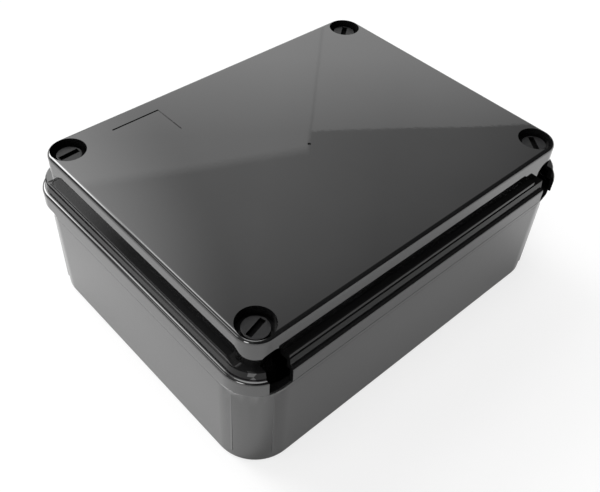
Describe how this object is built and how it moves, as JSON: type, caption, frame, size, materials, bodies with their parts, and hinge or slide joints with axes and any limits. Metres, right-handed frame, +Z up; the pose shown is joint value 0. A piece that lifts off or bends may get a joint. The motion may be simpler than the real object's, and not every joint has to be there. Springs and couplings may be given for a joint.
{
  "type": "adaptable box",
  "caption": "Glossy black moulded plastic enclosure with a screw-down lid, stepped sealing rim, slotted corner screws in round wells and hinge notches on one long side.",
  "frame": {"origin": "middle of the flat underside", "axes": "+X along the long side, +Y away from the side with the hinge notches, +Z up through the lid"},
  "size_m": [0.22, 0.172, 0.086],
  "materials": {
    "black_gloss_plastic": "gloss",
    "black_satin_plastic": "satin",
    "seal_rubber": "matte"
  },
  "bodies": {
    "base": {"base": "black_gloss_plastic"},
    "lid": {"lid": "black_gloss_plastic", "lid_gasket": "seal_rubber"},
    "screw_front_left": {"lid_screw_front_left": "black_satin_plastic"},
    "screw_front_right": {"lid_screw_front_right": "black_satin_plastic"},
    "screw_back_left": {"lid_screw_back_left": "black_satin_plastic"},
    "screw_back_right": {"lid_screw_back_right": "black_satin_plastic"}
  },
  "joints": [
    {"name": "lid_lift", "type": "slide", "parent": "base", "child": "lid", "axis": [0, 0, 1], "range_m": [0, 0.1]},
    {"name": "screw_front_left_turn", "type": "hinge", "parent": "lid", "child": "screw_front_left", "pos_m": [-0.0937, -0.0697, 0.08], "axis": [0, 0, 1], "continuous": true},
    {"name": "screw_front_right_turn", "type": "hinge", "parent": "lid", "child": "screw_front_right", "pos_m": [0.0937, -0.0697, 0.08], "axis": [0, 0, 1], "continuous": true},
    {"name": "screw_back_left_turn", "type": "hinge", "parent": "lid", "child": "screw_back_left", "pos_m": [-0.0937, 0.0697, 0.08], "axis": [0, 0, 1], "continuous": true},
    {"name": "screw_back_right_turn", "type": "hinge", "parent": "lid", "child": "screw_back_right", "pos_m": [0.0937, 0.0697, 0.08], "axis": [0, 0, 1], "continuous": true}
  ]
}
